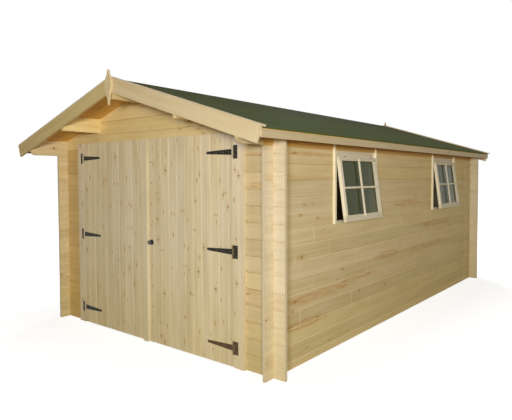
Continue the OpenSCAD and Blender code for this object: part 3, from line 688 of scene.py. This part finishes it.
def dome(mesh, centre, normal, radius, height, sides=12, rings=3):
    """A low round head on a surface: centre lies on the surface, normal points away from it."""
    turn = Vector((0, 0, 1)).rotation_difference(Vector(normal)).to_matrix()
    last = None
    for k in range(rings):
        angle = math.pi / 2 * k / rings
        r, h = radius * math.cos(angle), height * math.sin(angle)
        ring = [mesh.verts.new(Vector(centre) + turn @ Vector((r * math.cos(a), r * math.sin(a), h)))
                for a in (2 * math.pi * i / sides for i in range(sides))]
        if last:
            for i in range(sides):
                j = (i + 1) % sides
                mesh.faces.new((last[i], last[j], ring[j], ring[i]))
        else:
            mesh.faces.new(ring[::-1])
        last = ring
    top = mesh.verts.new(Vector(centre) + turn @ Vector((0, 0, height)))
    for i in range(sides):
        mesh.faces.new((last[i], last[(i + 1) % sides], top))


def heads(name, spots, normal, radius, height, material, body):
    """One piece of round iron heads at the spots."""
    mesh = bmesh.new()
    for spot in spots:
        dome(mesh, spot, normal, radius, height)
    piece(name, mesh, material, body)


def finish_hinges():
    """Screw heads on the hinge plates and straps."""
    # On a plate: mm from its outer edge, share of its half height; on a strap: shares of its length
    plate_places = (14, 0.72), (31, 0.35), (14, -0.72), (31, -0.35)
    strap_places = 0.12, 0.34, 0.6, 0.92
    screw = plain_metal("screw_grey", (0.120, 0.115, 0.085), 0.35)
    face = DOOR_Y - IRON_OUT
    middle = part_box("right_door_leaf")[0].z + MIDDLE_HINGE
    for side, sign in (("left", -1), ("right", 1)):
        plate_low, plate_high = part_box(f"{side}_hinge_plates")
        strap_low, strap_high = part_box(f"{side}_hinge_straps")
        outer = plate_high.x if sign > 0 else plate_low.x
        pin = outer - sign * PLATE_TO_PIN
        tip = strap_low.x if sign > 0 else strap_high.x
        length = abs(pin - tip)
        levels = (strap_low.z + HALF_STRAP, middle, strap_high.z - HALF_STRAP)
        on_plate = [(outer - sign * u * MM, face, z + v * HALF_PLATE)
                    for z in levels for u, v in plate_places]
        on_strap = [(pin - sign * length * u, face, z) for z in levels for u in strap_places]
        heads(f"{side}_plate_screws", on_plate, FORWARD, 5 * MM, 1.8 * MM, screw, "garage")
        heads(f"{side}_strap_screws", on_strap, FORWARD, 4.5 * MM, 1.8 * MM, screw, f"{side}_door")


def nails():
    """Nails beside the cover strip and in the window frames' boards, and heads along the doorway, one a log
    at the joints, which are painted shade of the joints' gaps.
    """
    rusty = plain_metal("nail_rusty", (0.250, 0.105, 0.020), 0.9)
    lowest, apart, behind_knob = 0.370, 0.207, 3
    beside_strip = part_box("door_cover_strip")[1].x + 42 * MM
    column = [(beside_strip, DOOR_Y, lowest + apart * k) for k in range(8) if k != behind_knob]
    heads("right_door_nails", column, FORWARD, 7 * MM, 1.2 * MM, rusty, "right_door")
    # Dark heads one a log at the joints beside the right post: painted shade of the joints' gaps
    inset = 9 * MM
    beside_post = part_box("door_post_right")[1].x + inset
    one_a_log = [(beside_post, FRONT_Y, k * LOG + inset) for k in range(1, 14)]
    heads("front_wall_joint_shade", one_a_log, FORWARD, 4 * MM, 1.2 * MM, rusty, "garage")
    for place in ("front", "rear"):
        low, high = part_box(f"{place}_window_frame")
        on_board = [(high.x, low.y + 6 * MM, low.z + (k + 0.05) * LOG) for k in range(1, 5)]
        heads(f"{place}_frame_nails", on_board, RIGHT, 4 * MM, 1.0 * MM, rusty, "garage")


def on_sash(place):
    """Returns a function that turns (out of the sash's face, along y, down from its top) into a point,
    and the sash's width and height."""
    low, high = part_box(f"{place}_window_sash")
    top_x = low.x + SASH_T * math.cos(SASH_TILT)              # its face at the top edge
    rotation = Matrix.Rotation(-SASH_TILT, 3, "Y")

    def point(out, along_y, down):
        local = rotation @ Vector((out, 0, -down))
        return (top_x + local.x, low.y + along_y, high.z + local.z)

    height = (high.z - low.z - SASH_T * math.sin(SASH_TILT)) / math.cos(SASH_TILT)
    return point, high.y - low.y, height


def glazing_bars(place):
    """A cross of bars in front of the glass that laps over the sash's members.

    Between the members the bars reach back towards the glass; where they lap, they lie on the face."""
    point, width, height = on_sash(place)
    proud, back, bevel, half = 7 * MM, -8 * MM, 2 * MM, 10 * MM
    lap, face, joint = 24 * MM, 0.3 * MM, 0.3 * MM
    mesh = bmesh.new()

    def bar(middle, sections, across):
        """One bar round its middle line, in lengths (start, stop, how far back)."""
        for start, stop, depth in sections:
            outline = [(depth, -half), (proud - bevel, -half), (proud, -half + bevel), (proud, half - bevel),
                       (proud - bevel, half), (depth, half)]
            if across:
                prism(mesh, outline, start, stop, lambda u, v, w: point(u, w, middle + v))
            else:
                prism(mesh, outline, start, stop, lambda u, v, w: point(u, middle + v, w))

    foot = height - BOTTOM_RAIL
    bar(width / 2, ((TOP_RAIL - lap, TOP_RAIL + joint, face), (TOP_RAIL + joint, foot - joint, back),
                    (foot - joint, foot + lap, face)), False)
    bar((TOP_RAIL + foot) / 2, ((STILE - lap, STILE + joint, face),
                                (STILE + joint, width / 2 - half - joint, back),
                                (width / 2 + half + joint, width - STILE - joint, back),
                                (width - STILE - joint, width - STILE + lap, face)), True)
    material = wood(f"{place}_bar_pine", Z, Y, WINDOW, seed=36.0, amount=0.1)
    piece(f"{place}_glazing_bars", mesh, material, "garage")


def window_iron(place):
    """The barrels of the two hinges that a sash hangs by, and the knob of its stay."""
    point, width, height = on_sash(place)
    iron = plain_metal("window_iron", (0.060, 0.045, 0.028), 0.5)
    radius, half_barrel, sides = 5 * MM, 9 * MM, 12
    turns = [2 * math.pi * i / sides for i in range(sides)]
    ring = [(radius * math.cos(a), radius * math.sin(a)) for a in turns]
    mesh = bmesh.new()
    for share in (0.14, 0.86):
        middle = width * share
        prism(mesh, ring, middle - half_barrel, middle + half_barrel,
              lambda u, v, w: point(u - 3 * MM, w, v + 2 * MM))
    piece(f"{place}_sash_hinges", mesh, iron, "garage")
    normal = Vector(point(1, 0, 0)) - Vector(point(0, 0, 0))
    knob = point(0, width * 0.88, height - 22 * MM)
    heads(f"{place}_stay_knob", [knob], normal, 6 * MM, 5 * MM, iron, "garage")


# ---------------------------------------------------------------- stage, light, camera

COOL, SUNNY, WHITE = (0.92, 1.0, 1.18), (1.12, 1.0, 0.60), (1.0, 1.0, 1.0)     # colours of the lamps
WARM, AMBIENT = (1.0, 0.80, 0.52), 0.10           # colour and strength of the light from all round


def any_eye(tree):
    """1 for rays that carry the picture: from the camera, in a reflection or through glass."""
    path = tree.nodes.new("ShaderNodeLightPath")
    total = path.outputs["Is Camera Ray"]
    for output in ("Is Glossy Ray", "Is Transmission Ray"):
        larger = tree.nodes.new("ShaderNodeMath")
        larger.operation = "MAXIMUM"
        tree.links.new(total, larger.inputs[0])
        tree.links.new(path.outputs[output], larger.inputs[1])
        total = larger.outputs[0]
    return total


def backdrop():
    """White for the camera and for reflections, soft warm light for everything else."""
    world = bpy.data.worlds.new("studio")
    bpy.context.scene.world = world
    world.use_nodes = True
    tree = world.node_tree
    tree.nodes.clear()
    white = tree.nodes.new("ShaderNodeBackground")
    white.inputs[0].default_value = (1, 1, 1, 1)
    soft = tree.nodes.new("ShaderNodeBackground")
    soft.inputs[0].default_value = (*WARM, 1)
    soft.inputs[1].default_value = AMBIENT
    mix = tree.nodes.new("ShaderNodeMixShader")
    tree.links.new(any_eye(tree), mix.inputs[0])
    tree.links.new(soft.outputs[0], mix.inputs[1])
    tree.links.new(white.outputs[0], mix.inputs[2])
    out = tree.nodes.new("ShaderNodeOutputWorld")
    tree.links.new(mix.outputs[0], out.inputs[0])


def floor():
    """A pale floor that fades into the white backdrop, and keeps the building's shadow.

    To the camera it glows, less so close to the building and least inside it, where the weaker glow is
    painted shade of the indoors; its own colour is only what it throws back as light."""
    size = 60.0
    near_half, indoor_half, indoor_dark = (1.60, 2.60), (1.53, 2.47), 0.72
    mesh = bmesh.new()
    mesh.faces.new([mesh.verts.new((x * size, y * size, 0)) for x, y in ((-1, -1), (1, -1), (1, 1), (-1, 1))])
    data = bpy.data.meshes.new("floor")
    mesh.to_mesh(data)
    mesh.free()
    ground = bpy.data.objects.new("floor", data)
    bpy.context.scene.collection.objects.link(ground)
    ground.location.z = cad_box[0].z - 0.5 * MM
    g = Graph("pale_floor")
    g.finish((0.28, 0.18, 0.06), 0.9, 0.0)
    x, y, _ = g.place()
    beyond = [g.math("MAXIMUM", g.math("SUBTRACT", g.math("ABSOLUTE", axis), half), 0.0)
              for axis, half in zip((x, y), near_half)]
    # Inside the walls the glow drops: painted shade of the indoors
    inside = [g.math("LESS_THAN", g.math("ABSOLUTE", axis), half) for axis, half in zip((x, y), indoor_half)]
    strength = g.math("SUBTRACT", g.smooth(g.distance(*beyond), 0.2, 2.2, 0.80, 1.0),
                      g.times(*inside, indoor_dark))
    glow = g.add("ShaderNodeEmission", {0: (1, 1, 1), 1: strength})
    lit = g.add("ShaderNodeBsdfDiffuse", {0: (0.5, 0.5, 0.5)})
    shown = g.add("ShaderNodeAddShader")
    g.tree.links.new(glow.outputs[0], shown.inputs[0])
    g.tree.links.new(lit.outputs[0], shown.inputs[1])
    mix = g.add("ShaderNodeMixShader", {0: any_eye(g.tree)})
    g.tree.links.new(g.bsdf.outputs[0], mix.inputs[1])
    g.tree.links.new(shown.outputs[0], mix.inputs[2])
    g.tree.links.new(mix.outputs[0], g.output.inputs[0])
    data.materials.append(g.material)


def lamp(name, place, aim, size, power, colour):
    """A round area lamp at a place, turned to its aim and hidden from the camera."""
    data = bpy.data.lights.new(name, "AREA")
    data.shape = "DISK"
    data.size = size
    data.energy = power
    data.color = colour
    made = bpy.data.objects.new(name, data)
    made.location = place
    made.rotation_euler = (Vector(aim) - Vector(place)).to_track_quat("-Z", "Y").to_euler()
    made.visible_camera = False
    bpy.context.scene.collection.objects.link(made)


def lights():
    """Lamps near the camera, far behind it, at the right, behind the building and above it."""
    aim = (0.8, -1.5, 1.2)
    lamp("key_near", (4.6, -8.0, 2.1), aim, 0.9, 225.0, COOL)
    lamp("key_far", (9.2, -11.2, 2.1), aim, 1.8, 560.0, SUNNY)
    lamp("side", (9.0, -4.5, 2.4), aim, 1.2, 105.0, COOL)
    lamp("back", (-7.0, 10.0, 4.0), (0, 0, 1.2), 3.0, 900.0, COOL)
    lamp("top", (0, 0, 9.0), (0, 0, 0), 3.0, 80.0, WHITE)


def camera():
    """The photo's viewpoint, from a fit to the building's edges: degrees of tilt down, roll and heading."""
    down, roll, heading = 2.18, 0.19, 38.73
    data = bpy.data.cameras.new("camera")
    data.sensor_width = 36.0
    data.lens = 35.372
    data.shift_x = -0.0107
    data.shift_y = -0.02726
    data.clip_start, data.clip_end = 0.05, 200.0
    made = bpy.data.objects.new("camera", data)
    made.location = (4.0548, -5.7512, 1.669)
    made.rotation_euler = (math.radians(90 - down), math.radians(roll), math.radians(heading))
    bpy.context.scene.collection.objects.link(made)
    bpy.context.scene.camera = made


def main():
    finish_logs()
    finish_trim()
    finish_door_parts()
    finish_windows()
    paint(felt_material(), "roof_felt_left", "roof_felt_right")
    door_boards("left", joint=-0.155, pitch=0.1111, seed=50.0)
    door_boards("right", joint=0.0907, pitch=0.1116, seed=90.0)
    for side in ("left", "right"):
        roof_boards(side)
    finial_boards()
    finish_hinges()
    nails()
    for place in ("front", "rear"):
        glazing_bars(place)
        window_iron(place)
    backdrop()
    floor()
    lights()
    camera()
    bpy.context.scene.view_settings.view_transform = "Standard"


main()
